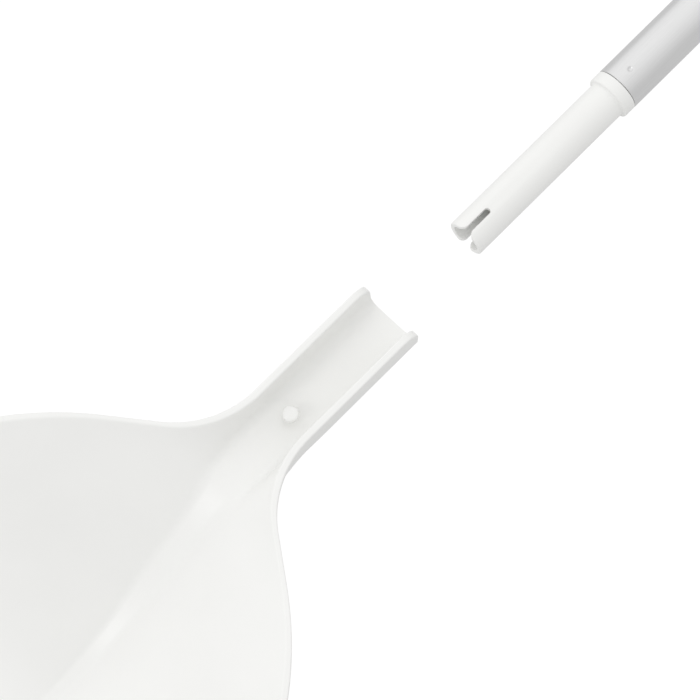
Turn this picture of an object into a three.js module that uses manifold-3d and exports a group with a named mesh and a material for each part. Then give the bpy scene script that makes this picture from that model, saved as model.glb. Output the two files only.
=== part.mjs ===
// Dustpan with a hand brush whose forked handle end slides into the pan's open handle channel.
// Millimetres, +Z up. The set is symmetric about the YZ plane: the pan's mouth faces -Y, the
// brush lies on the +Y side with its handle in line with the channel, drawn out of it.
import * as THREE from 'three';
import { mergeVertices } from 'three/addons/utils/BufferGeometryUtils.js';
import Module from 'manifold-3d';

const wasm = await Module();
wasm.setup();

// ---- driving dimensions -------------------------------------------------------------------
const FIT_GAP = 0.3; // clearance between pieces that touch
const TUBE_D = 22; // handle tube, outside
const TUBE_WALL = 1.2;
const TUBE_L = 140;

const PLUG_D = 18.4; // forked plug that enters the channel
const PLUG_WALL = 2.4;
const PLUG_L = 97.3; // tip to tube
const COLLAR_L = 6;
const SPIGOT_L = 25; // length pressed inside the tube
const SLOT_W = 3; // fork slot, through both walls
const SLOT_L = 15;
const SLOT_FLARE = 3; // lead-in at the mouth of the slot

const RIM_Z = 82; // top of the channel's lips and of the pan's rear rim
const RIM_W = 16.3; // half-width over the lips
const CHANNEL_DEPTH = 17;
const CHANNEL_END = 99; // where the channel floor turns down into the pan
const LIP_W = 3.5; // width of the rounded rim
const SHELL_T = 2.5;
const HANDLE_OPEN_END = 129; // the handle's upright walls have leaned out into the pan here
const HANDLE_CORNER_R = 4.3; // outside corner under the handle
const FLOOR_LIFT = 0.5; // underside of the floor over the surface that the keel stands on
const END_ROUND = 10; // rounding of the lips at the open end of the channel
const END_DROP = 7;
const PAN_L = 289; // open end of the channel to the tip of the soft lip
const PAN_HALF_W = 121.7;
const SIDE_R = 166; // convex radius of the pan's side in plan
const FLANK_ANGLE = THREE.MathUtils.degToRad(53); // steepest widening, between neck and side
const NECK_START = 68;
const NECK_R = 49; // concave radius from the handle into the pan
const REAR_RIM_END = 162; // the rim starts down to the mouth here
const FLOOR_START = 209; // the valley reaches the floor here
const SHELL_END = 272; // front edge of the hard shell, before the soft lip
const MOUTH_RIM_Z = 4.4; // the rim has run out into the floor here

const RIM_ROUND = 0.9; // rounding along the rim's edges
const RIM_BAND = 3.4; // height of the upright band outside the rim
const BAND_INSET = 0.3; // the outer wall starts this far in from the band
const CHANNEL_HALF_FLAT = 7.4; // flat floor of the channel, each side of the middle
const CHANNEL_FILLET_R = 5;
const THROAT_FILLET_R = 20; // where the channel has opened into the pan
const CREASE_FILLET_R = 3; // along the bottom of the valley
const MOUTH_FILLET_R = 60; // the crease flattens out towards the mouth
const CREASE_START = 144;
const CREASE_FULL = 179;
const KEEL_REAR = 144;
const KEEL_FRONT = FLOOR_START + 36;
const KEEL_W = 8;

const LIP_TONGUE_L = 6;
const LIP_TONGUE_T = 1.1;
const LIP_T = 3.4;
const LIP_EDGE_T = 0.8;

const STUD_S = 63; // station of the docking stud
const STUD_NECK_D = 2.4;
const STUD_HEAD_D = 7.4;
const STUD_HEAD_T = 2.5;
const STUD_LIFT = 4.2; // channel floor to the underside of the head
const WASHER_D = 8;
const WASHER_T = 1;
const RIVET_D = 5;
const RIVET_T = 0.8;

const DRAWN_OUT = 46.9; // gap between the channel's end and the plug's tip
const AXIS_Z = RIM_Z - CHANNEL_DEPTH + PLUG_D / 2 + FIT_GAP; // handle axis, resting in the channel

const NECK_L = 36; // brush head: neck between tube and block
const BLOCK_L = 160;
const BLOCK_HALF_W = 22;
const BLOCK_TOP = 81;
const BLOCK_BOTTOM = 62;
const TUFT_COLUMNS = 4;
const TUFT_ROWS = 12;
const TUFT_PITCH_X = 10;
const TUFT_PITCH_Y = 12.4;
const TUFT_ROOT_R = 2.5;
const TUFT_TIP_R = 4.1;
const TUFT_DEPTH = 10;

// ---- places along the set -----------------------------------------------------------------
const JOINT_REACH = DRAWN_OUT + PLUG_L; // channel end to the tube's near end
const HEAD_REACH = JOINT_REACH + FIT_GAP + TUBE_L + FIT_GAP; // to the brush head's collar
const BRUSH_REACH = HEAD_REACH + NECK_L + BLOCK_L;
const PAN_END_Y = (PAN_L - BRUSH_REACH) / 2; // the channel's open end, with the set centred on 0

// A station s runs from the channel's open end towards the mouth.
const stationY = (s) => PAN_END_Y - s;
const reachY = (d) => PAN_END_Y + d;

// ---- materials ----------------------------------------------------------------------------
const whitePlastic = new THREE.MeshStandardMaterial({ color: '#f1f1ee', roughness: 0.35 });
const softLip = new THREE.MeshStandardMaterial({ color: '#d9dad7', roughness: 0.7 });
const aluminium = new THREE.MeshStandardMaterial({ color: '#c4c5c6', roughness: 0.4, metalness: 1 });
const steel = new THREE.MeshStandardMaterial({ color: '#b9bbbd', roughness: 0.3, metalness: 1 });
const bristle = new THREE.MeshStandardMaterial({ color: '#d2d1cc', roughness: 0.6 });

// ---- solids -------------------------------------------------------------------------------
function toSolid(geometry) {
  const bare = geometry.clone();
  bare.deleteAttribute('normal');
  bare.deleteAttribute('uv');
  const merged = mergeVertices(bare, 1e-5);
  return new wasm.Manifold(new wasm.Mesh({
    numProp: 3,
    vertProperties: new Float32Array(merged.attributes.position.array),
    triVerts: new Uint32Array(merged.index.array),
  }));
}

function toGeometry(solid) {
  const mesh = solid.getMesh();
  const geometry = new THREE.BufferGeometry();
  geometry.setAttribute('position', new THREE.BufferAttribute(mesh.vertProperties, 3));
  geometry.setIndex(new THREE.BufferAttribute(mesh.triVerts, 1));
  geometry.computeVertexNormals();
  return geometry;
}

function named(name, geometry, material) {
  const mesh = new THREE.Mesh(geometry, material);
  mesh.name = name;
  return mesh;
}

// A closed body through rings of equal point counts, each [x, y, z], with flat end caps.
// Rings run anticlockwise seen from the first end, looking along the loft.
function loft(rings) {
  const count = rings[0].length;
  const index = [];
  for (let i = 0; i + 1 < rings.length; i += 1) {
    for (let j = 0; j < count; j += 1) {
      const a = i * count + j;
      const b = i * count + (j + 1) % count;
      index.push(a, a + count, b, b, a + count, b + count);
    }
  }
  capRing(rings[0], 0, false, index);
  capRing(rings[rings.length - 1], (rings.length - 1) * count, true, index);
  const geometry = new THREE.BufferGeometry();
  geometry.setAttribute('position', new THREE.Float32BufferAttribute(rings.flat(2), 3));
  geometry.setIndex(index);
  return geometry;
}

function capRing(ring, offset, last, index) {
  const outline = ring.map(([x, , z]) => new THREE.Vector2(x, z));
  const clockwise = THREE.ShapeUtils.isClockWise(outline);
  for (const [a, b, c] of THREE.ShapeUtils.triangulateShape(outline, [])) {
    const face = clockwise === last ? [a, b, c] : [a, c, b];
    index.push(...face.map((corner) => corner + offset));
  }
}

// A turned piece on an axis along Y, from [distance along Y, radius] points.
function turnedAlongY(points, segments = 48) {
  const profile = points.map(([y, r]) => new THREE.Vector2(r, y));
  return new THREE.LatheGeometry(profile, segments);
}

// A turned piece on an axis along Z, from [height, radius] points.
function turnedAlongZ(points, segments = 32) {
  return turnedAlongY(points, segments).rotateX(Math.PI / 2);
}

// A side profile, its X the station and its Y the height, given a width across the pan.
function acrossFromSide(shape, width) {
  const strip = new THREE.ExtrudeGeometry(shape, { depth: width, bevelEnabled: false });
  strip.translate(0, 0, -width / 2);
  const place = new THREE.Matrix4();
  place.set(0, 0, -1, 0, -1, 0, 0, PAN_END_Y, 0, 1, 0, 0, 0, 0, 0, 1);
  return strip.applyMatrix4(place);
}

// ---- the pan's rules ----------------------------------------------------------------------
const ease = (t) => t * t * (3 - 2 * t);
const share = (value, low, high) => THREE.MathUtils.clamp((value - low) / (high - low), 0, 1);
const mix = THREE.MathUtils.lerp;

const NECK_END = NECK_START + NECK_R * Math.sin(FLANK_ANGLE);
const NECK_END_W = RIM_W + NECK_R * (1 - Math.cos(FLANK_ANGLE));
const SIDE_START_W = PAN_HALF_W - SIDE_R * (1 - Math.cos(FLANK_ANGLE));
const SIDE_START = NECK_END + (SIDE_START_W - NECK_END_W) / Math.tan(FLANK_ANGLE);
const WIDEST = SIDE_START + SIDE_R * Math.sin(FLANK_ANGLE);

// Half-width over the rim: parallel lips, a concave neck, a straight flank that both arcs
// touch, then one convex side arc to the widest point.
function rimHalfWidth(s) {
  if (s <= NECK_START) return RIM_W;
  if (s <= NECK_END) return RIM_W + NECK_R - Math.sqrt(NECK_R ** 2 - (s - NECK_START) ** 2);
  if (s <= SIDE_START) return NECK_END_W + (s - NECK_END) * Math.tan(FLANK_ANGLE);
  const fromWidest = Math.max(WIDEST - s, 0);
  return PAN_HALF_W - SIDE_R + Math.sqrt(SIDE_R ** 2 - fromWidest ** 2);
}

// Rim height: rounded down at the open end, level along the rear, then down to the mouth.
function rimHeight(s) {
  if (s < END_ROUND) {
    return RIM_Z - END_DROP * (1 - Math.sqrt(1 - (1 - s / END_ROUND) ** 2));
  }
  return mix(RIM_Z, MOUTH_RIM_Z, ease(share(s, REAR_RIM_END, SHELL_END)));
}

// Depth of the valley under the rim plane: level in the channel, an eased fall, the pan's floor.
function valleyDepth(s) {
  const fall = share(s, CHANNEL_END, FLOOR_START);
  return mix(CHANNEL_DEPTH, RIM_Z - SHELL_T - FLOOR_LIFT, Math.sin(fall * Math.PI / 2) ** 1.5);
}

// Points of half a section, from the centre line out over the rim and back underneath.
// Every station has the same number of points.
function halfSection(s) {
  const w = rimHalfWidth(s);
  const rimZ = rimHeight(s);
  const floorZ = Math.min(RIM_Z - valleyDepth(s), rimZ - 1.2);
  const open = share(s, CHANNEL_END - 5, HANDLE_OPEN_END);
  const flat = mix(CHANNEL_HALF_FLAT, 0, ease(open));
  const opening = mix(CHANNEL_FILLET_R, THROAT_FILLET_R, ease(open));
  const crease = mix(opening, CREASE_FILLET_R, ease(share(s, CREASE_START, CREASE_FULL)));
  const radius = mix(crease, MOUTH_FILLET_R, ease(share(s, FLOOR_START, SHELL_END)));
  const centre = new THREE.Vector2(flat, floorZ + radius);
  const inner = new THREE.Vector2(w - LIP_W, rimZ - 0.8);
  const outer = new THREE.Vector2(w - BAND_INSET, rimZ - RIM_BAND);
  const top = [
    new THREE.Vector2(w - LIP_W + RIM_ROUND, rimZ),
    new THREE.Vector2(w - RIM_ROUND, rimZ),
    new THREE.Vector2(w, rimZ - RIM_ROUND),
  ];
  const inside = fillet(centre, radius, inner, 5);
  const leaning = ease(share(s, NECK_START - 15, HANDLE_OPEN_END));
  const outerRadius = mix(HANDLE_CORNER_R, radius + SHELL_T, leaning);
  const outerX = mix(w - BAND_INSET - outerRadius, flat, leaning);
  const underCentre = new THREE.Vector2(outerX, floorZ - SHELL_T + outerRadius);
  const outside = fillet(underCentre, outerRadius, outer, 5);
  const up = [new THREE.Vector2(0, floorZ), ...inside, inner];
  const down = [outer, ...outside.reverse(), new THREE.Vector2(0, floorZ - SHELL_T)];
  return [...up, ...top, ...down];
}

const LEAST_TURN = 0.05; // keeps a flat fillet's points apart
const CENTRE_GAP = 0.1; // keeps its first point off the centre line

// Arc of a circle from its lowest point to where the tangent from a point outside meets it.
function fillet(centre, radius, point, steps) {
  const reach = point.clone().sub(centre);
  const distance = Math.max(reach.length(), radius * 1.0001);
  const end = reach.angle() - Math.acos(radius / distance);
  const start = -Math.PI / 2;
  const turn = Math.max(end > Math.PI ? end - 2 * Math.PI : end, start + LEAST_TURN);
  return Array.from({ length: steps + 1 }, (_, i) => {
    const angle = mix(start, turn, i / steps);
    const x = centre.x + radius * Math.cos(angle) + CENTRE_GAP;
    return new THREE.Vector2(x, centre.y + radius * Math.sin(angle));
  });
}

function sectionRing(s) {
  const half = halfSection(s);
  const right = half.map((p) => [p.x, stationY(s), p.y]);
  const left = half.slice(1, -1).reverse().map((p) => [-p.x, stationY(s), p.y]);
  return [...right, ...left];
}

function panStations() {
  const rounding = [0, 0.4, 1.2, 2.5, 4.5, 7, END_ROUND];
  const channel = [30, 53, 60, NECK_START, 73, 78, 83, 88, 92, 96, CHANNEL_END, 102];
  const stations = [...rounding, ...channel];
  for (let s = 106; s < SHELL_END - 1; s += 4) stations.push(s);
  return [...stations, SHELL_END];
}

// ---- pan pieces ---------------------------------------------------------------------------
const TONGUE_Z = 1.2; // underside of the tongue that holds the soft lip

// A rib under the valley with a level foot: the pan stands on it behind the floor.
function keelGeometry() {
  const rear = KEEL_REAR;
  const front = KEEL_FRONT;
  const shape = new THREE.Shape();
  const under = (s) => Math.max(RIM_Z - valleyDepth(s) - SHELL_T / 2, 1);
  shape.moveTo(front, 0);
  shape.lineTo(front, under(front));
  for (let s = front - 6; s > rear; s -= 6) shape.lineTo(s, under(s));
  shape.lineTo(rear, under(rear));
  shape.lineTo(rear + 8, 0);
  return acrossFromSide(shape, KEEL_W);
}

function boxAt(xSize, ySize, zSize, x, y, z) {
  return new THREE.BoxGeometry(xSize, ySize, zSize).translate(x, y, z);
}

function panShell() {
  const shell = toSolid(loft(panStations().map(sectionRing)));
  const keel = toSolid(keelGeometry());
  const tongueWidth = 2 * (PAN_HALF_W - 8);
  const tongueY = stationY(SHELL_END + LIP_TONGUE_L / 2 - 1);
  const tongue = toSolid(boxAt(tongueWidth, LIP_TONGUE_L + 2, LIP_TONGUE_T,
    0, tongueY, TONGUE_Z + LIP_TONGUE_T / 2));
  const hole = toSolid(turnedAlongZ([
    [-1, 0], [-1, STUD_NECK_D / 2 + FIT_GAP], [SHELL_T + 1, STUD_NECK_D / 2 + FIT_GAP],
    [SHELL_T + 1, 0],
  ], 24).translate(0, stationY(STUD_S), RIM_Z - CHANNEL_DEPTH - SHELL_T));
  const solid = shell.add(keel).add(tongue).subtract(hole);
  return named('pan_shell', toGeometry(solid), whitePlastic);
}

// Soft lip along the mouth: a wedge section that grips the shell's tongue.
function frontLip() {
  const back = SHELL_END + FIT_GAP;
  const grip = SHELL_END + LIP_TONGUE_L + 2 * FIT_GAP;
  const slotLow = TONGUE_Z - FIT_GAP;
  const slotHigh = TONGUE_Z + LIP_TONGUE_T + FIT_GAP;
  const outline = [
    [back, 0], [PAN_L, 0], [PAN_L, LIP_EDGE_T], [grip + 2, LIP_T], [back, LIP_T],
    [back, slotHigh], [grip, slotHigh], [grip, slotLow], [back, slotLow],
  ];
  const shape = new THREE.Shape(outline.map(([s, z]) => new THREE.Vector2(s, z)));
  return named('front_lip', acrossFromSide(shape, 2 * (PAN_HALF_W - 1)), softLip);
}

const FLOOR_Z = RIM_Z - CHANNEL_DEPTH;
const WASHER_TOP = FLOOR_Z - SHELL_T - FIT_GAP;
const RIVET_TOP = WASHER_TOP - WASHER_T - FIT_GAP;

function dockingStud() {
  const neck = STUD_NECK_D / 2;
  const head = STUD_HEAD_D / 2;
  const headLow = FLOOR_Z + STUD_LIFT;
  const headTop = headLow + STUD_HEAD_T;
  const stud = turnedAlongZ([
    [RIVET_TOP - RIVET_T, 0], [RIVET_TOP - RIVET_T, RIVET_D / 2 - 0.4],
    [RIVET_TOP - 0.3, RIVET_D / 2], [RIVET_TOP, RIVET_D / 2], [RIVET_TOP, neck],
    [headLow, neck], [headLow, head], [headTop - 0.9, head], [headTop - 0.3, head - 0.5],
    [headTop, head - 1.3], [headTop, 0],
  ]);
  return named('docking_stud', stud.translate(0, stationY(STUD_S), 0), whitePlastic);
}

function studWasher() {
  const hole = STUD_NECK_D / 2 + FIT_GAP;
  const low = WASHER_TOP - WASHER_T;
  const washer = turnedAlongZ([
    [low, hole], [low, WASHER_D / 2], [WASHER_TOP, WASHER_D / 2], [WASHER_TOP, hole], [low, hole],
  ]);
  return named('stud_washer', washer.translate(0, stationY(STUD_S), 0), steel);
}

// ---- brush pieces -------------------------------------------------------------------------
// The fork's slot in plan: parallel sides, a round closed end, a flared mouth.
function slotCutter() {
  const half = SLOT_W / 2;
  const shape = new THREE.Shape();
  shape.moveTo(-half - 2, -1);
  shape.lineTo(half + 2, -1);
  shape.lineTo(half + 1.6, 0);
  shape.quadraticCurveTo(half, 0.6, half, SLOT_FLARE);
  shape.lineTo(half, SLOT_L - half);
  shape.absarc(0, SLOT_L - half, half, 0, Math.PI, false);
  shape.lineTo(-half, SLOT_FLARE);
  shape.quadraticCurveTo(-half, 0.6, -half - 1.6, 0);
  const cutter = new THREE.ExtrudeGeometry(shape, {
    depth: PLUG_D + 4, bevelEnabled: false, curveSegments: 8,
  });
  return cutter.translate(0, 0, -PLUG_D / 2 - 2);
}

function forkPlug() {
  const outer = PLUG_D / 2;
  const bore = outer - PLUG_WALL;
  const collar = TUBE_D / 2;
  const spigot = TUBE_D / 2 - TUBE_WALL - FIT_GAP;
  const shoulder = PLUG_L - COLLAR_L;
  const end = PLUG_L + SPIGOT_L;
  const body = toSolid(turnedAlongY([
    [0, bore + 0.6], [0, outer - 0.6], [0.6, outer], [shoulder - 1.2, outer],
    [shoulder - 0.4, outer + 0.4], [shoulder, collar - 0.7], [shoulder + 0.7, collar],
    [PLUG_L, collar], [PLUG_L, spigot], [end - 1, spigot], [end, spigot - 0.8],
    [end, bore], [0.6, bore], [0, bore + 0.6],
  ]));
  const solid = body.subtract(toSolid(slotCutter()));
  const plug = toGeometry(solid).translate(0, reachY(DRAWN_OUT), AXIS_Z);
  return named('fork_plug', plug, whitePlastic);
}

function handleTube() {
  const outer = TUBE_D / 2;
  const inner = outer - TUBE_WALL;
  const tube = toSolid(turnedAlongY([
    [0, inner], [0, outer - 0.25], [0.25, outer], [TUBE_L - 0.25, outer],
    [TUBE_L, outer - 0.25], [TUBE_L, inner], [0, inner],
  ]));
  const dimpleR = 1.7;
  const dimpleDepth = 0.6;
  const fromEnd = 7.6;
  const dimple = (y) => toSolid(new THREE.SphereGeometry(dimpleR, 16, 12)
    .translate(0, y, outer + dimpleR - dimpleDepth));
  const solid = tube.subtract(dimple(fromEnd)).subtract(dimple(TUBE_L - fromEnd));
  const placed = toGeometry(solid).translate(0, reachY(JOINT_REACH + FIT_GAP), AXIS_Z);
  return named('handle_tube', placed, aluminium);
}

// Half-width, bottom, top and squareness of the brush head at a distance from its collar.
function headSection(d) {
  const blend = ease(share(d, 4, NECK_L));
  const round = TUBE_D / 2;
  const endRound = 18;
  const toEnd = Math.min((NECK_L + BLOCK_L - d) / endRound, 1);
  const pull = Math.sqrt(Math.max(1 - (1 - toEnd) ** 2, 0.02));
  const low = mix(AXIS_Z - round, BLOCK_BOTTOM, blend);
  const high = mix(AXIS_Z + round, BLOCK_TOP, blend) - 3 * (1 - pull);
  return {
    half: mix(round, BLOCK_HALF_W, blend) * pull,
    low,
    high,
    power: mix(2, 4.5, blend),
  };
}

function headRing(d) {
  const { half, low, high, power } = headSection(d);
  const steps = 32;
  const curve = (value) => Math.sign(value) * Math.abs(value) ** (2 / power);
  return Array.from({ length: steps }, (_, i) => {
    const angle = i / steps * 2 * Math.PI;
    const x = half * curve(Math.cos(angle));
    const z = (low + high) / 2 + (high - low) / 2 * curve(Math.sin(angle));
    return [x, reachY(HEAD_REACH + d), z];
  }).reverse();
}

function tuftPlaces() {
  const first = HEAD_REACH + NECK_L + (BLOCK_L - (TUFT_ROWS - 1) * TUFT_PITCH_Y) / 2 - 1.5;
  const places = [];
  for (let row = 0; row < TUFT_ROWS; row += 1) {
    for (let column = 0; column < TUFT_COLUMNS; column += 1) {
      const x = (column - (TUFT_COLUMNS - 1) / 2) * TUFT_PITCH_X;
      places.push([x, reachY(first + row * TUFT_PITCH_Y)]);
    }
  }
  return places;
}

function brushHead() {
  const along = [];
  for (let d = 0; d < NECK_L + 4; d += 4) along.push(d);
  along.push(70, 110, 150);
  for (const rise of [0, 4, 8, 12, 15, 17, 18]) along.push(NECK_L + BLOCK_L - 18 + rise);
  const spigotR = TUBE_D / 2 - TUBE_WALL - FIT_GAP;
  const spigot = toSolid(turnedAlongY([[-SPIGOT_L, 0], [-SPIGOT_L, spigotR - 0.8],
    [1 - SPIGOT_L, spigotR], [2, spigotR], [2, 0]]).translate(0, reachY(HEAD_REACH), AXIS_Z));
  let solid = toSolid(loft(along.map(headRing).reverse())).add(spigot);
  const hole = new THREE.CylinderGeometry(TUFT_ROOT_R + FIT_GAP, TUFT_ROOT_R + FIT_GAP,
    TUFT_DEPTH + FIT_GAP + 1, 8).rotateX(Math.PI / 2);
  for (const [x, y] of tuftPlaces()) {
    const z = BLOCK_BOTTOM + (TUFT_DEPTH + FIT_GAP - 1) / 2;
    solid = solid.subtract(toSolid(hole.clone().translate(x, y, z)));
  }
  return named('brush_head', toGeometry(solid), whitePlastic);
}

function tufts() {
  const height = BLOCK_BOTTOM + TUFT_DEPTH;
  return tuftPlaces().map(([x, y], i) => {
    const tuft = turnedAlongZ([
      [0, 0], [0, TUFT_TIP_R], [BLOCK_BOTTOM - 1, TUFT_ROOT_R], [height, TUFT_ROOT_R], [height, 0],
    ], 8);
    return named(`tuft_${String(i + 1).padStart(2, '0')}`, tuft.translate(x, y, 0), bristle);
  });
}

// ---- assembly -----------------------------------------------------------------------------
const set = new THREE.Group();
set.name = 'dustpan_and_brush';

const pan = new THREE.Group();
pan.add(panShell(), frontLip(), dockingStud(), studWasher());

const brush = new THREE.Group();
brush.add(forkPlug(), handleTube(), brushHead(), ...tufts());

set.add(pan, brush);
export default set;
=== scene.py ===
"""Looks for the dustpan and brush set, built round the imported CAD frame.

Lengths in this file are millimetres until mesh_from() turns them into metres. A station s runs
from the open end of the pan's handle channel towards the mouth, as -Y runs.
"""
import math

import bmesh
import bpy
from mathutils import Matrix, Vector


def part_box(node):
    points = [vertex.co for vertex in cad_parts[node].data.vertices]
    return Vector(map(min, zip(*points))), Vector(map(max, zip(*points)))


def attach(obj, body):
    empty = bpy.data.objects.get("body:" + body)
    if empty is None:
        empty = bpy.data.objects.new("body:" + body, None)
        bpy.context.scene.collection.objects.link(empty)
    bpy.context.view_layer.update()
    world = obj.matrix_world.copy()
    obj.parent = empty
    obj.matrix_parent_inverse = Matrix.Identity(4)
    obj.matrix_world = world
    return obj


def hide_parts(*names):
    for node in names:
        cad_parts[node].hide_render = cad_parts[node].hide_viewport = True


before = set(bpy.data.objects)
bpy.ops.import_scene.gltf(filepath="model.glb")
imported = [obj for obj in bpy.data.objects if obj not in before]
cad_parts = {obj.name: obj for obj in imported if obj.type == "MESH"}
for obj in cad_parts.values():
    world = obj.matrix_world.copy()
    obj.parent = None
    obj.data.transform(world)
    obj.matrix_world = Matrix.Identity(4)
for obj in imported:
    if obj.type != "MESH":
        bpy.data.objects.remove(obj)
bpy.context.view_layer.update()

MM = 0.001


def box_mm(node):
    low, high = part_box(node)
    return low / MM, high / MM


# ---- places, from the frame ------------------------------------------------------------------
SHELL_LOW, SHELL_HIGH = box_mm("pan_shell")
PAN_END_Y = SHELL_HIGH.y
RIM_Z = SHELL_HIGH.z
PAN_HALF_W = SHELL_HIGH.x
LIP_LOW, LIP_HIGH = box_mm("front_lip")
PLUG_LOW, PLUG_HIGH = box_mm("fork_plug")
TUBE_LOW, TUBE_HIGH = box_mm("handle_tube")
HEAD_LOW, HEAD_HIGH = box_mm("brush_head")
STUD_LOW, STUD_HIGH = box_mm("docking_stud")
WASHER_LOW, WASHER_HIGH = box_mm("stud_washer")
AXIS_Z = (TUBE_LOW.z + TUBE_HIGH.z) / 2
TUBE_R = (TUBE_HIGH.z - TUBE_LOW.z) / 2

# ---- driving sizes, as the frame's maker gives them --------------------------------------------
RIM_W = 16.3
LIP_W = 3.5
CHANNEL_DEPTH = 17
CHANNEL_END = 99
SHELL_T = 2.5
FLOOR_LIFT = 0.5
HANDLE_OPEN_END = 129
HANDLE_CORNER_R = 4.3
END_ROUND = 10
END_DROP = 7
SIDE_R = 166
FLANK_ANGLE = math.radians(53)
NECK_START = 68
NECK_R = 49
NECK_END = NECK_START + NECK_R * math.sin(FLANK_ANGLE)
NECK_END_W = RIM_W + NECK_R * (1 - math.cos(FLANK_ANGLE))
SIDE_START_W = PAN_HALF_W - SIDE_R * (1 - math.cos(FLANK_ANGLE))
SIDE_START = NECK_END + (SIDE_START_W - NECK_END_W) / math.tan(FLANK_ANGLE)
WIDEST = SIDE_START + SIDE_R * math.sin(FLANK_ANGLE)
REAR_RIM_END = 162
FLOOR_START = 209
SHELL_END = 272
MOUTH_RIM_Z = 4.4

PLUG_R = 9.2
PLUG_BORE_R = 6.8
COLLAR_L = 6
SPIGOT_L = 25
SLOT_W = 3
SLOT_L = 15
TUBE_WALL = 1.2

# ---- camera ------------------------------------------------------------------------------------
VIEW_AZIMUTH = math.radians(44)
VIEW_ELEVATION = math.radians(72)
VIEW_WIDTH = 304.5
VIEW_RIGHT = -18.0
VIEW_UP = -18.9
LENS = 250
SENSOR = 36


def make_camera():
    flat = math.cos(VIEW_ELEVATION)
    back = Vector((math.sin(VIEW_AZIMUTH) * flat, -math.cos(VIEW_AZIMUTH) * flat,
                   math.sin(VIEW_ELEVATION)))
    right = Vector((math.cos(VIEW_AZIMUTH), math.sin(VIEW_AZIMUTH), 0))
    up = back.cross(right)
    target = Vector((0, PAN_END_Y, RIM_Z)) + right * VIEW_RIGHT + up * VIEW_UP
    data = bpy.data.cameras.new("camera")
    data.sensor_width = SENSOR
    data.lens = LENS
    camera = bpy.data.objects.new("camera", data)
    camera.location = (target + back * VIEW_WIDTH * LENS / SENSOR) * MM
    camera.rotation_euler = (-back).to_track_quat("-Z", "Y").to_euler()
    data.clip_start = 0.05
    data.clip_end = 50
    bpy.context.scene.collection.objects.link(camera)
    bpy.context.scene.camera = camera


make_camera()


# ---- mesh helpers ------------------------------------------------------------------------------
def mesh_from(name, points, faces, sharp_degrees=35):
    mesh = bpy.data.meshes.new(name)
    mesh.from_pydata([[v * MM for v in p] for p in points], [], faces)
    mesh.validate()
    build = bmesh.new()
    build.from_mesh(mesh)
    bmesh.ops.remove_doubles(build, verts=build.verts, dist=1e-6)
    bmesh.ops.recalc_face_normals(build, faces=build.faces)
    build.to_mesh(mesh)
    build.free()
    shade(mesh, sharp_degrees)
    piece = bpy.data.objects.new(name, mesh)
    bpy.context.scene.collection.objects.link(piece)
    return piece


def shade(mesh, sharp_degrees):
    mesh.shade_smooth()
    mesh.set_sharp_from_angle(angle=math.radians(sharp_degrees))


def loft(name, rings, sharp_degrees=35, closed_along=False):
    """A closed body through rings of equal counts, with its ends filled unless it meets itself."""
    count = len(rings[0])
    points = [p for ring in rings for p in ring]
    faces = []
    spans = len(rings) if closed_along else len(rings) - 1
    for i in range(spans):
        near = i * count
        far = (i + 1) % len(rings) * count
        for j in range(count):
            k = (j + 1) % count
            faces.append((near + j, near + k, far + k, far + j))
    if not closed_along:
        faces.append(tuple(range(count)))
        faces.append(tuple(range(len(points) - count, len(points))))
    return mesh_from(name, points, faces, sharp_degrees)


def turned(name, profile, axis="Y", centre=(0, 0, 0), segments=128, sharp_degrees=35):
    """A turned body from [along, radius] points that close on themselves."""
    rings = []
    for i in range(segments):
        angle = 2 * math.pi * i / segments
        c, s = math.cos(angle), math.sin(angle)
        if axis == "Y":
            ring = [(centre[0] + r * c, centre[1] + a, centre[2] + r * s) for a, r in profile]
        else:
            ring = [(centre[0] + r * c, centre[1] + r * s, centre[2] + a) for a, r in profile]
        rings.append(ring)
    return loft(name, rings, sharp_degrees, closed_along=True)


def rounded(corners, steps=6):
    """Points of a path whose corners (x, y, radius) are rounded by arcs that fit between them."""
    made = [Vector(corners[0][:2])]
    for before, corner, after in zip(corners, corners[1:], corners[2:]):
        at = Vector(corner[:2])
        back = Vector(before[:2]) - at
        on = Vector(after[:2]) - at
        turn = math.pi - back.angle(on)
        if corner[2] <= 0 or turn < 1e-4:
            made.append(at)
            continue
        reach = min(corner[2] * math.tan(turn / 2), back.length * 0.49, on.length * 0.49)
        radius = reach / math.tan(turn / 2)
        start = at + back.normalized() * reach
        middle = (back.normalized() + on.normalized()).normalized()
        centre = at + middle * radius / math.cos(turn / 2)
        spoke = start - centre
        side = math.copysign(1, -back.x * on.y + back.y * on.x)
        for i in range(steps + 1):
            angle = side * turn * i / steps
            c, s = math.cos(angle), math.sin(angle)
            made.append(centre + Vector((spoke.x * c - spoke.y * s, spoke.x * s + spoke.y * c)))
    made.append(Vector(corners[-1][:2]))
    return made


def finish_piece(piece, material, body, slot, *nodes):
    piece.data.materials.clear()
    piece.data.materials.append(material)
    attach(piece, body)
    if nodes:
        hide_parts(*nodes)
    return piece


def baked(piece):
    """The piece's evaluated mesh as a plain one, with no modifiers left on it."""
    depsgraph = bpy.context.evaluated_depsgraph_get()
    mesh = bpy.data.meshes.new_from_object(piece.evaluated_get(depsgraph))
    piece.modifiers.clear()
    piece.data = mesh
    return piece


# ---- materials ---------------------------------------------------------------------------------
def linear(colour):
    """An sRGB hex colour as linear RGBA."""
    parts = [int(colour[i:i + 2], 16) / 255 for i in (1, 3, 5)]
    return [p / 12.92 if p <= 0.04045 else ((p + 0.055) / 1.055) ** 2.4 for p in parts] + [1]


def node(tree, kind, settings=None, **links):
    """Adds a node, sets its properties and inputs, and links sockets given by input name."""
    made = tree.nodes.new(kind)
    for key, value in (settings or {}).items():
        if key in made.inputs:
            made.inputs[key].default_value = value
        else:
            setattr(made, key, value)
    for key, source in links.items():
        tree.links.new(source, made.inputs[key.replace("_", " ")])
    return made


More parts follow.
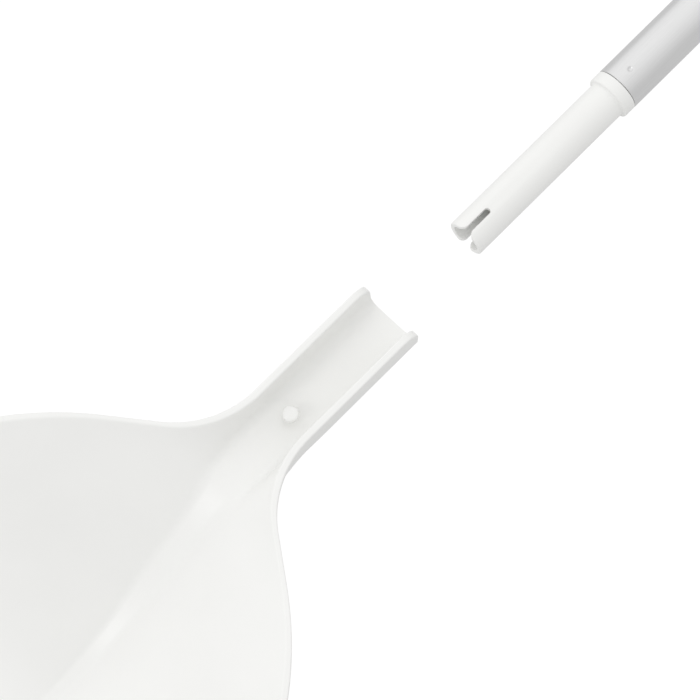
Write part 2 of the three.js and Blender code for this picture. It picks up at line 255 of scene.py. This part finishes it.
def surface(name, settings):
    """A material with one Principled shader; returns the material, its tree and the shader."""
    material = bpy.data.materials.new(name)
    material.use_nodes = True
    tree = material.node_tree
    tree.nodes.clear()
    shader = node(tree, "ShaderNodeBsdfPrincipled", settings)
    node(tree, "ShaderNodeOutputMaterial", None, Surface=shader.outputs["BSDF"])
    return material, tree, shader


def object_noise(tree, size_mm, stretch=(1, 1, 1), detail=2.0):
    """Noise on object coordinates whose grains are size_mm across."""
    place = node(tree, "ShaderNodeTexCoord")
    scale = [s / (size_mm * MM) for s in stretch]
    mapping = node(tree, "ShaderNodeMapping", {"Scale": scale}, Vector=place.outputs["Object"])
    return node(tree, "ShaderNodeTexNoise", {"Scale": 1.0, "Detail": detail},
                Vector=mapping.outputs["Vector"])


def tinted(tree, shader, source, low, high):
    ramp = node(tree, "ShaderNodeValToRGB", None, Fac=source)
    ramp.color_ramp.elements[0].position = 0.3
    ramp.color_ramp.elements[1].position = 0.7
    ramp.color_ramp.elements[0].color = linear(low)
    ramp.color_ramp.elements[1].color = linear(high)
    tree.links.new(ramp.outputs["Color"], shader.inputs["Base Color"])


def varied_roughness(tree, shader, source, low, high):
    spread = node(tree, "ShaderNodeMapRange", {"To Min": low, "To Max": high}, Value=source)
    tree.links.new(spread.outputs["Result"], shader.inputs["Roughness"])


def bumped(tree, shader, source, height_mm, strength):
    bump = node(tree, "ShaderNodeBump", {"Distance": height_mm * MM, "Strength": strength},
                Height=source)
    tree.links.new(bump.outputs["Normal"], shader.inputs["Normal"])


def moulded_polypropylene():
    """Injection moulded white polypropylene: soft gloss over a faint fine-eroded skin."""
    material, tree, shader = surface("moulded_polypropylene", {"IOR": 1.49})
    clouds = object_noise(tree, 40)
    tinted(tree, shader, clouds.outputs["Fac"], "#f3f3f1", "#f5f5f3")
    grain = object_noise(tree, 0.6, detail=3.0)
    varied_roughness(tree, shader, grain.outputs["Fac"], 0.3, 0.38)
    bumped(tree, shader, grain.outputs["Fac"], 0.02, 0.25)
    return material


def anodised_aluminium():
    """Drawn aluminium tube, satin anodised: dull metal with fine lines along the draw."""
    material, tree, shader = surface("anodised_aluminium", {"Metallic": 1.0})
    lines = object_noise(tree, 0.25, stretch=(1, 0.02, 1), detail=3.0)
    tinted(tree, shader, lines.outputs["Fac"], "#dedede", "#e3e3e3")
    varied_roughness(tree, shader, lines.outputs["Fac"], 0.33, 0.38)
    bumped(tree, shader, lines.outputs["Fac"], 0.005, 0.12)
    return material


def moulded_elastomer():
    """Thermoplastic elastomer, moulded: matt, slightly grey, with a fine spark-eroded grain."""
    material, tree, shader = surface("moulded_elastomer", {"IOR": 1.5})
    grain = object_noise(tree, 0.5, detail=4.0)
    tinted(tree, shader, grain.outputs["Fac"], "#d0d1ce", "#d8d9d6")
    varied_roughness(tree, shader, grain.outputs["Fac"], 0.62, 0.78)
    bumped(tree, shader, grain.outputs["Fac"], 0.05, 0.4)
    return material


def plated_steel():
    """Pressed steel washer, zinc plated: bright metal with a faint cloudy bloom."""
    material, tree, shader = surface("plated_steel", {"Metallic": 1.0})
    bloom = object_noise(tree, 1.5)
    tinted(tree, shader, bloom.outputs["Fac"], "#b4b6b8", "#c6c8ca")
    varied_roughness(tree, shader, bloom.outputs["Fac"], 0.25, 0.4)
    return material


def polyester_bristle():
    """Extruded polyester filament, pale grey: each fibre a little lighter or darker."""
    material, tree, shader = surface("polyester_bristle", {"IOR": 1.57})
    strands = object_noise(tree, 1.2, stretch=(1, 1, 0.05))
    tinted(tree, shader, strands.outputs["Fac"], "#c2c1bc", "#dddcd7")
    varied_roughness(tree, shader, strands.outputs["Fac"], 0.4, 0.55)
    return material


PLASTIC = moulded_polypropylene()
ALUMINIUM = anodised_aluminium()
ELASTOMER = moulded_elastomer()
STEEL = plated_steel()
FIBRE = polyester_bristle()


# ---- the pan's rules ---------------------------------------------------------------------------
# Outline, rim and valley follow the frame's maker. The fillets along the valley are made here.
def clamp01(value):
    return min(max(value, 0.0), 1.0)


def share(value, low, high):
    return clamp01((value - low) / (high - low))


def ease(t):
    return t * t * (3 - 2 * t)


def mix(a, b, t):
    return a + (b - a) * t


def rim_half_width(s):
    """Parallel lips, a concave neck, a straight flank that both arcs touch, a convex side."""
    if s <= NECK_START:
        return RIM_W
    if s <= NECK_END:
        return RIM_W + NECK_R - math.sqrt(NECK_R ** 2 - (s - NECK_START) ** 2)
    if s <= SIDE_START:
        return NECK_END_W + (s - NECK_END) * math.tan(FLANK_ANGLE)
    from_widest = max(WIDEST - s, 0)
    return PAN_HALF_W - SIDE_R + math.sqrt(SIDE_R ** 2 - from_widest ** 2)


def rim_height(s):
    if s < END_ROUND:
        return RIM_Z - END_DROP * (1 - math.sqrt(max(1 - (1 - s / END_ROUND) ** 2, 0)))
    return mix(RIM_Z, MOUTH_RIM_Z, ease(share(s, REAR_RIM_END, SHELL_END)))


def valley_height(s):
    fall = math.sin(share(s, CHANNEL_END, FLOOR_START) * math.pi / 2) ** 1.5
    return RIM_Z - mix(CHANNEL_DEPTH, RIM_Z - SHELL_T - FLOOR_LIFT, fall)


CHANNEL_HALF_FLAT = 7.4
CHANNEL_FILLET_R = 5
THROAT_FILLET_R = 18
CREASE_FILLET_R = 12
MOUTH_FILLET_R = 60
CREASE_START = 144
CREASE_FULL = 179
FOOT_PASSES = 12  # the wall's foot and its angle settle together


def valley_corner(s, rim_x, rim_z, floor_z):
    """Foot of the wall in half a section, the radius there and the wall's angle."""
    opened = ease(share(s, CHANNEL_END - 5, HANDLE_OPEN_END))
    flat = mix(CHANNEL_HALF_FLAT, 0, opened)
    opening = mix(CHANNEL_FILLET_R, THROAT_FILLET_R, opened)
    crease = mix(opening, CREASE_FILLET_R, ease(share(s, CREASE_START, CREASE_FULL)))
    radius = mix(crease, MOUTH_FILLET_R, ease(share(s, FLOOR_START, SHELL_END)))
    foot = flat
    angle = 0.0
    for _ in range(FOOT_PASSES):
        angle = math.atan2(rim_z - floor_z, rim_x - foot)
        foot = flat + radius * math.tan(angle / 2)
    return foot, radius, angle


WALL_STEPS = 14
ARC_STEPS = 14
UNDER_STEPS = 10
HANDLE_CREST_R = 0.9
PAN_CREST_R = 3.2
MOUTH_CREST_R = 0.4
CREST_FULL = 120
CREST_THINS = 235
RIM_FLAT = 1.6  # from the outer edge in to the end of the crest's rounding
RIM_EDGE_R = 1.1
HEM_L = 3.0
HEM_R = 1.5


def half_section(s):
    """Half of the shell's section: along the inside, over the rim, back underneath."""
    w = rim_half_width(s)
    rim_z = rim_height(s)
    floor_z = min(valley_height(s), rim_z - 1.2)
    crest = mix(HANDLE_CREST_R, PAN_CREST_R, ease(share(s, NECK_START, CREST_FULL)))
    crest = mix(crest, MOUTH_CREST_R, ease(share(s, CREST_THINS, SHELL_END)))
    foot, radius, angle = valley_corner(s, w - LIP_W, rim_z, floor_z)
    leaning = ease(share(s, NECK_START - 15, HANDLE_OPEN_END))
    under = mix(w - 0.4, foot + SHELL_T * math.tan(angle / 2), leaning)
    under_radius = mix(HANDLE_CORNER_R, radius + SHELL_T, leaning)
    hem = min(HEM_L, (rim_z - floor_z + SHELL_T) / 2)
    inner = rounded([(0, floor_z, 0), (foot, floor_z, radius), (w - LIP_W, rim_z, crest),
                     (w - RIM_FLAT, rim_z, 0)], ARC_STEPS)
    outer = rounded([(w - RIM_FLAT, rim_z, 0), (w, rim_z, RIM_EDGE_R), (w, rim_z - hem, HEM_R),
                     (under, floor_z - SHELL_T, under_radius), (0, floor_z - SHELL_T, 0)],
                    UNDER_STEPS)
    wall_foot, wall_top = inner[ARC_STEPS + 1], inner[ARC_STEPS + 2]
    wall = [wall_foot.lerp(wall_top, i / WALL_STEPS) for i in range(1, WALL_STEPS)]
    return inner[:ARC_STEPS + 2] + wall + inner[ARC_STEPS + 2:] + outer[1:]


def pan_stations():
    stations = [END_ROUND * (1 - math.cos(i * math.pi / 24)) for i in range(12)]
    s = END_ROUND
    while s < SHELL_END - 0.5:
        stations.append(s)
        s += 2.0 if s < 60 or s > 130 else 1.25
    return stations + [SHELL_END]


def pan_ring(s):
    half = half_section(s)
    y = PAN_END_Y - s
    right = [(p.x, y, p.y) for p in half]
    left = [(-p.x, y, p.y) for p in reversed(half[1:-1])]
    return right + left


def make_pan():
    pan = loft("pan", [pan_ring(s) for s in pan_stations()], sharp_degrees=50)
    return finish_piece(pan, PLASTIC, "pan", "pan_plastic", "pan_shell")


KEEL_REAR = 144
KEEL_FRONT = FLOOR_START + 36
KEEL_W = 8
KEEL_STEPS = 40


def make_keel():
    rear = KEEL_REAR
    stations = [rear + (KEEL_FRONT - rear) * i / KEEL_STEPS for i in range(KEEL_STEPS + 1)]
    rings = []
    for s in stations:
        top = max(valley_height(s) - SHELL_T / 2, 1)
        foot = 0.9 * top * clamp01(1 - (s - rear) / 8)
        half = KEEL_W / 2
        section = rounded([(0, foot, 0), (half, foot, 0.8), (half, top, 0), (0, top, 0)], 4)
        right = [(p.x, PAN_END_Y - s, p.y) for p in section]
        left = [(-p.x, PAN_END_Y - s, p.y) for p in reversed(section[1:-1])]
        rings.append(right + left)
    keel = loft("keel", rings)
    return finish_piece(keel, PLASTIC, "pan", "pan_plastic")


def make_front_lip():
    """The soft lip: a wedge with three shallow grip lines along its top."""
    back = LIP_HIGH.y
    tip = LIP_LOW.y
    top = LIP_HIGH.z
    line_y = [back - 5 - 3 * i for i in range(3)]
    upper = [(back, top, 0.4)]
    for y in line_y:
        z = mix(top, 0.8, share(back - y, 8, back - tip))
        upper += [(y + 0.5, z, 0.1), (y, z - 0.35, 0.2), (y - 0.5, z, 0.1)]
    outline = [(back, 0, 0), *upper, (tip, 0.9, 0.4), (tip, 0, 0.2), (back, 0, 0)]
    section = rounded(outline, 4)[:-1]
    half = LIP_HIGH.x
    xs = [-half, -half + 0.3, half - 0.3, half]
    rings = [[(x, p.x, p.y) for p in section] for x in xs]
    lip = loft("front_lip_strip", rings)
    return finish_piece(lip, ELASTOMER, "pan", "lip_rubber", "front_lip")


def make_stud():
    low, high = STUD_LOW.z, STUD_HIGH.z
    head = (STUD_HIGH.x - STUD_LOW.x) / 2
    centre = ((STUD_LOW.x + STUD_HIGH.x) / 2, (STUD_LOW.y + STUD_HIGH.y) / 2, 0)
    neck = 1.2
    outline = [(low, 0.02, 0), (low, 2.5, 0.4), (low + 0.8, 2.5, 0.2), (low + 0.8, neck, 0),
               (high - 2.5, neck, 0), (high - 2.5, head, 0.3), (high, head, 1.3),
               (high, 0.02, 0)]
    profile = [(p.x, p.y) for p in rounded(outline, 6)]
    stud = turned("stud", profile, "Z", centre, 96)
    return finish_piece(stud, PLASTIC, "pan", "pan_plastic", "docking_stud")


def make_washer():
    low, high = WASHER_LOW.z, WASHER_HIGH.z
    centre = ((WASHER_LOW.x + WASHER_HIGH.x) / 2, (WASHER_LOW.y + WASHER_HIGH.y) / 2, 0)
    outer = (WASHER_HIGH.x - WASHER_LOW.x) / 2
    outline = [(low, 1.5, 0), (low, outer, 0.25), (high, outer, 0.25), (high, 1.5, 0.1),
               (low, 1.5, 0)]
    profile = [(p.x, p.y) for p in rounded(outline, 4)][:-1]
    washer = turned("washer", profile, "Z", centre, 96)
    return finish_piece(washer, STEEL, "pan", "washer_steel", "stud_washer")


# ---- the brush ---------------------------------------------------------------------------------
def slot_cutter(tip_y):
    """The fork's slot as a solid: parallel sides, a round end, a flared and rounded mouth."""
    half = SLOT_W / 2
    end = tip_y + SLOT_L - half
    side = [(half + 2.4, tip_y - 1), (half + 2.2, tip_y)]
    side += [(half + 2.2 * (1 - t) ** 2.5, tip_y + 3.2 * t) for t in (0.2, 0.4, 0.6, 0.8, 1)]
    arc = [(half * math.cos(a), end + half * math.sin(a))
           for a in [math.pi * i / 16 for i in range(17)]]
    outline = side + arc + [(-x, y) for x, y in reversed(side)]
    rings = [[(x, y, z) for x, y in outline] for z in (AXIS_Z - 12, AXIS_Z + 12)]
    return loft("slot_cutter", rings)


def make_plug():
    tip, end = PLUG_LOW.y, PLUG_HIGH.y
    joint = end - SPIGOT_L
    shoulder = joint - COLLAR_L
    spigot = TUBE_R - TUBE_WALL - 0.3
    outline = [(0, PLUG_BORE_R, 0.5), (0, PLUG_R, 0.7), (shoulder - tip, PLUG_R, 1.6),
               (shoulder - tip, TUBE_R, 0.9), (joint - tip, TUBE_R, 0.15),
               (joint - tip, spigot, 0), (end - tip, spigot, 0.8),
               (end - tip, PLUG_BORE_R, 0.3), (0, PLUG_BORE_R, 0)]
    start = (2, PLUG_BORE_R, 0)
    profile = [(p.x, p.y) for p in rounded([start, *outline[0:8], start], 6)][:-1]
    plug = turned("plug", profile, "Y", (0, tip, AXIS_Z), 128)
    cutter = slot_cutter(tip)
    cut = plug.modifiers.new("slot", "BOOLEAN")
    cut.object = cutter
    cut.solver = "EXACT"
    soften = plug.modifiers.new("soften", "BEVEL")
    soften.width = 0.3 * MM
    soften.segments = 2
    soften.limit_method = "ANGLE"
    soften.angle_limit = math.radians(40)
    baked(plug)
    bpy.data.objects.remove(cutter)
    shade(plug.data, 40)
    return finish_piece(plug, PLASTIC, "brush", "pan_plastic", "fork_plug")


DENT_FROM_END = 7.6
DENT_DEPTH = 0.75
DENT_R = 1.15
TUBE_CHAMFER = 0.25


def make_tube():
    """The tube's wall as rings of one closed section, dented by a crimp near each end."""
    length = TUBE_HIGH.y - TUBE_LOW.y
    inner = TUBE_R - TUBE_WALL
    dents = (DENT_FROM_END, length - DENT_FROM_END)
    fine = [TUBE_CHAMFER + 0.35 * i for i in range(40)]
    outside = [0.0, *fine]
    outside += [fine[-1] + (length / 2 - fine[-1]) * i / 6 for i in range(1, 7)]
    outside += [length - a for a in reversed(outside[:-1])]
    segments = 256
    rings = []
    for i in range(segments):
        angle = 2 * math.pi * i / segments
        ring = []
        for along in outside:
            edge = min(along, length - along)
            radius = TUBE_R - TUBE_CHAMFER * (1 - min(edge / TUBE_CHAMFER, 1))
            around = (angle - math.pi / 2) * TUBE_R
            for dent in dents:
                gap = math.hypot(around, along - dent)
                radius -= DENT_DEPTH * math.exp(-((gap / DENT_R) ** 4))
            ring.append(place_on_tube(along, radius, angle))
        ring += [place_on_tube(along, inner, angle) for along in (length, 0)]
        rings.append(ring)
    tube = loft("tube", rings, 30, closed_along=True)
    return finish_piece(tube, ALUMINIUM, "brush", "tube_aluminium", "handle_tube")


def place_on_tube(along, radius, angle):
    return (radius * math.cos(angle), TUBE_LOW.y + along, AXIS_Z + radius * math.sin(angle))


NECK_L = 36
BLOCK_L = 160
BLOCK_HALF_W = 22
BLOCK_TOP = 81
BLOCK_BOTTOM = 62
HEAD_END_R = 18
HEAD_SIDES = 128
HEAD_Y = HEAD_HIGH.y - NECK_L - BLOCK_L


def head_ring(d, inset=0.0):
    blend = ease(share(d, 4, NECK_L))
    to_end = min((NECK_L + BLOCK_L - d) / HEAD_END_R, 1)
    pull = math.sqrt(max(1 - (1 - to_end) ** 2, 0.003))
    low = mix(AXIS_Z - TUBE_R, BLOCK_BOTTOM, blend)
    high = mix(AXIS_Z + TUBE_R, BLOCK_TOP, blend) - 3 * (1 - pull)
    half = mix(TUBE_R, BLOCK_HALF_W, blend) * pull - inset
    power = 2 / mix(2, 4.5, blend)
    rise = (high - low) / 2 - inset
    ring = []
    for i in range(HEAD_SIDES):
        angle = 2 * math.pi * i / HEAD_SIDES
        c, s = math.cos(angle), math.sin(angle)
        x = half * math.copysign(abs(c) ** power, c)
        z = (low + high) / 2 + rise * math.copysign(abs(s) ** power, s)
        ring.append((x, HEAD_Y + d, z))
    return ring


def make_head():
    stations = [0.3 + 1.2 * i for i in range(34)]
    stations += [stations[-1] + 4 * i for i in range(1, 35)]
    tail = NECK_L + BLOCK_L
    stations = [d for d in stations if d < tail - HEAD_END_R]
    stations += [tail - HEAD_END_R * (1 - math.sin(i * math.pi / 48)) for i in range(25)]
    spigot = TUBE_R - TUBE_WALL - 0.3
    rings = [spigot_ring(-SPIGOT_L, spigot - 0.8), spigot_ring(1 - SPIGOT_L, spigot),
             spigot_ring(0, spigot), head_ring(0, 0.3)]
    rings += [head_ring(d) for d in stations]
    head = loft("head", rings, 40)
    return finish_piece(head, PLASTIC, "brush", "pan_plastic", "brush_head")


def spigot_ring(d, radius):
    turns = [2 * math.pi * i / HEAD_SIDES for i in range(HEAD_SIDES)]
    return [(radius * math.cos(a), HEAD_Y + d, AXIS_Z + radius * math.sin(a)) for a in turns]


FIBRE_ROOT = 2.0
FIBRES_PER_TUFT = 80
FIBRE_R = 0.3  # drawn about twice as thick as real filament, so that it shows
TUFT_ROOT_R = 2.3
TUFT_SPREAD = 1.05
BRISTLE_SEED = 7
GOLDEN_ANGLE = math.pi * (3 - math.sqrt(5))  # spreads fibres evenly over a disc
REACH_SPREAD = (0.82, 1.1)
TRIM_SPREAD = (0.975, 1.0)


def sum_node(tree, operation, first, second=None):
    """A Math node whose inputs are sockets or plain numbers; returns its output."""
    made = node(tree, "ShaderNodeMath", {"operation": operation})
    for place, value in enumerate((first, second)):
        if isinstance(value, (int, float)):
            made.inputs[place].default_value = value
        elif value is not None:
            tree.links.new(value, made.inputs[place])
    return made.outputs[0]


def random_between(tree, low, high, seed):
    made = node(tree, "FunctionNodeRandomValue", {"data_type": "FLOAT", "Seed": seed})
    made.inputs[2].default_value = low
    made.inputs[3].default_value = high
    return made.outputs[1]


def bristle_tree():
    """Fibres in a disc, splayed from their tuft's middle, set on every tuft place."""
    tree = bpy.data.node_groups.new("bristles", "GeometryNodeTree")
    face = tree.interface
    face.new_socket("Geometry", in_out="INPUT", socket_type="NodeSocketGeometry")
    for name, kind in (("Fibre length", "Float"), ("Fibre radius", "Float"),
                       ("Tuft radius", "Float"), ("Splay", "Float"), ("Fibres", "Int"),
                       ("Material", "Material")):
        face.new_socket(name, in_out="INPUT", socket_type=f"NodeSocket{kind}")
    face.new_socket("Geometry", in_out="OUTPUT", socket_type="NodeSocketGeometry")
    given = tree.nodes.new("NodeGroupInput").outputs
    points = node(tree, "GeometryNodePoints", None, Count=given["Fibres"])
    index = node(tree, "GeometryNodeInputIndex").outputs["Index"]
    turn = sum_node(tree, "MULTIPLY", index, GOLDEN_ANGLE)
    jitter = random_between(tree, *REACH_SPREAD, BRISTLE_SEED)
    root = sum_node(tree, "SQRT", sum_node(tree, "DIVIDE", index, given["Fibres"]))
    reach = sum_node(tree, "MULTIPLY", root, jitter)
    spoke = sum_node(tree, "MULTIPLY", reach, given["Tuft radius"])
    flat = node(tree, "ShaderNodeCombineXYZ", None, X=spoke)
    wheel = node(tree, "ShaderNodeVectorRotate", {"rotation_type": "Z_AXIS"},
                 Vector=flat.outputs[0], Angle=turn)
    laid = node(tree, "GeometryNodeSetPosition", None, Geometry=points.outputs[0],
                Position=wheel.outputs[0])
    lean = node(tree, "ShaderNodeVectorMath", {"operation": "SCALE"}, Scale=given["Splay"])
    tree.links.new(wheel.outputs[0], lean.inputs[0])
    length_down = sum_node(tree, "MULTIPLY", given["Fibre length"], -1.0)
    down = node(tree, "ShaderNodeCombineXYZ", None, Z=length_down)
    heading = node(tree, "ShaderNodeVectorMath", {"operation": "ADD"})
    tree.links.new(lean.outputs[0], heading.inputs[0])
    tree.links.new(down.outputs[0], heading.inputs[1])
    aim = node(tree, "FunctionNodeAlignRotationToVector", {"axis": "Z"},
               Vector=heading.outputs[0])
    fibre = node(tree, "GeometryNodeMeshCone", {"Vertices": 5, "Side Segments": 3},
                 Radius_Top=given["Fibre radius"], Radius_Bottom=given["Fibre radius"],
                 Depth=given["Fibre length"])
    trim = random_between(tree, *TRIM_SPREAD, BRISTLE_SEED + 1)
    cut = node(tree, "ShaderNodeCombineXYZ", {"X": 1.0, "Y": 1.0}, Z=trim)
    tuft = node(tree, "GeometryNodeInstanceOnPoints", None, Points=laid.outputs[0],
                Instance=fibre.outputs["Mesh"], Rotation=aim.outputs[0], Scale=cut.outputs[0])
    joined = node(tree, "GeometryNodeRealizeInstances", None, Geometry=tuft.outputs[0])
    spin = node(tree, "FunctionNodeRandomValue", {"data_type": "FLOAT_VECTOR",
                                                  "Seed": BRISTLE_SEED + 2})
    spin.inputs[0].default_value = (0, 0, 0)
    spin.inputs[1].default_value = (0, 0, 2 * math.pi)
    rows = node(tree, "GeometryNodeInstanceOnPoints", None, Points=given["Geometry"],
                Instance=joined.outputs[0], Rotation=spin.outputs[0])
    whole = node(tree, "GeometryNodeRealizeInstances", None, Geometry=rows.outputs[0])
    coated = node(tree, "GeometryNodeSetMaterial", None, Geometry=whole.outputs[0],
                  Material=given["Material"])
    node(tree, "NodeGroupOutput", None, Geometry=coated.outputs[0])
    return tree


def make_bristles():
    tufts = sorted(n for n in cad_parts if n.startswith("tuft_"))
    places = []
    for name in tufts:
        low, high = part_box(name)
        places.append(((low.x + high.x) / 2, (low.y + high.y) / 2,
                       (BLOCK_BOTTOM + FIBRE_ROOT) * MM))
    mesh = bpy.data.meshes.new("bristles")
    mesh.from_pydata(places, [], [])
    piece = bpy.data.objects.new("bristles", mesh)
    bpy.context.scene.collection.objects.link(piece)
    tree = bristle_tree()
    grow = piece.modifiers.new("grow", "NODES")
    grow.node_group = tree
    given = {"Fibre length": (BLOCK_BOTTOM + FIBRE_ROOT) * MM, "Fibre radius": FIBRE_R * MM,
             "Tuft radius": TUFT_ROOT_R * MM, "Splay": TUFT_SPREAD, "Fibres": FIBRES_PER_TUFT,
             "Material": FIBRE}
    for item in tree.interface.items_tree:
        if item.item_type == "SOCKET" and item.in_out == "INPUT" and item.name in given:
            grow[item.identifier] = given[item.name]
    baked(piece)
    shade(piece.data, 60)
    return finish_piece(piece, FIBRE, "brush", "bristle_fibre", *tufts)


make_pan()
make_keel()
make_front_lip()
make_stud()
make_washer()
make_plug()
make_tube()
make_head()
make_bristles()


# ---- stage -------------------------------------------------------------------------------------
def make_floor():
    """A seamless white floor: burnt out to the eye, and a little darker as a bounce."""
    mesh = bpy.data.meshes.new("floor")
    size = 6.0
    corners = [(-size, -size), (size, -size), (size, size), (-size, size)]
    mesh.from_pydata([(x, y, -0.0005) for x, y in corners], [], [(0, 1, 2, 3)])
    floor = bpy.data.objects.new("floor", mesh)
    bpy.context.scene.collection.objects.link(floor)
    material = bpy.data.materials.new("white_floor")
    material.use_nodes = True
    tree = material.node_tree
    tree.nodes.clear()
    ray = node(tree, "ShaderNodeLightPath")
    seen = node(tree, "ShaderNodeMapRange", {"To Min": FLOOR_BOUNCE, "To Max": FLOOR_SEEN},
                Value=ray.outputs["Is Camera Ray"])
    glow = node(tree, "ShaderNodeEmission", {"Color": linear("#ffffff")},
                Strength=seen.outputs["Result"])
    matt = node(tree, "ShaderNodeBsdfDiffuse", {"Color": [0.22, 0.22, 0.22, 1]})
    both = node(tree, "ShaderNodeAddShader")
    tree.links.new(glow.outputs[0], both.inputs[0])
    tree.links.new(matt.outputs[0], both.inputs[1])
    node(tree, "ShaderNodeOutputMaterial", None, Surface=both.outputs[0])
    mesh.materials.append(material)


def make_light(name, toward, distance, size, power):
    """A square soft light in the direction toward, aimed at the handle's end."""
    data = bpy.data.lights.new(name, "AREA")
    data.size = size
    data.energy = power
    light = bpy.data.objects.new(name, data)
    way = Vector(toward).normalized()
    light.location = Vector((0, PAN_END_Y * MM, 0.05)) + way * distance
    light.rotation_euler = way.to_track_quat("Z", "Y").to_euler()
    bpy.context.scene.collection.objects.link(light)


def make_world():
    """A white tent, brighter towards the key side and overhead than towards the far side."""
    world = bpy.data.worlds.new("studio")
    world.use_nodes = True
    tree = world.node_tree
    place = node(tree, "ShaderNodeTexCoord")
    along = node(tree, "ShaderNodeVectorMath", {"operation": "DOT_PRODUCT"})
    along.inputs[1].default_value = Vector(KEY_SIDE).normalized()
    tree.links.new(place.outputs["Generated"], along.inputs[0])
    level = node(tree, "ShaderNodeMapRange", {"From Min": -1.0, "To Min": TENT_DARK,
                                              "To Max": TENT_BRIGHT},
                 Value=along.outputs["Value"])
    back = tree.nodes["Background"]
    back.inputs["Color"].default_value = linear("#ffffff")
    tree.links.new(level.outputs["Result"], back.inputs["Strength"])
    bpy.context.scene.world = world
    bpy.context.scene.view_settings.view_transform = "Standard"


KEY_SIDE = (-0.6, 0.25, 0.76)
TENT_DARK = 0.5
TENT_BRIGHT = 1.09
FLOOR_SEEN = 0.84
FLOOR_BOUNCE = 0.5

make_floor()
make_world()
make_light("valley", (-0.215, -0.779, 0.591), 2.0, 0.4, 3.0)
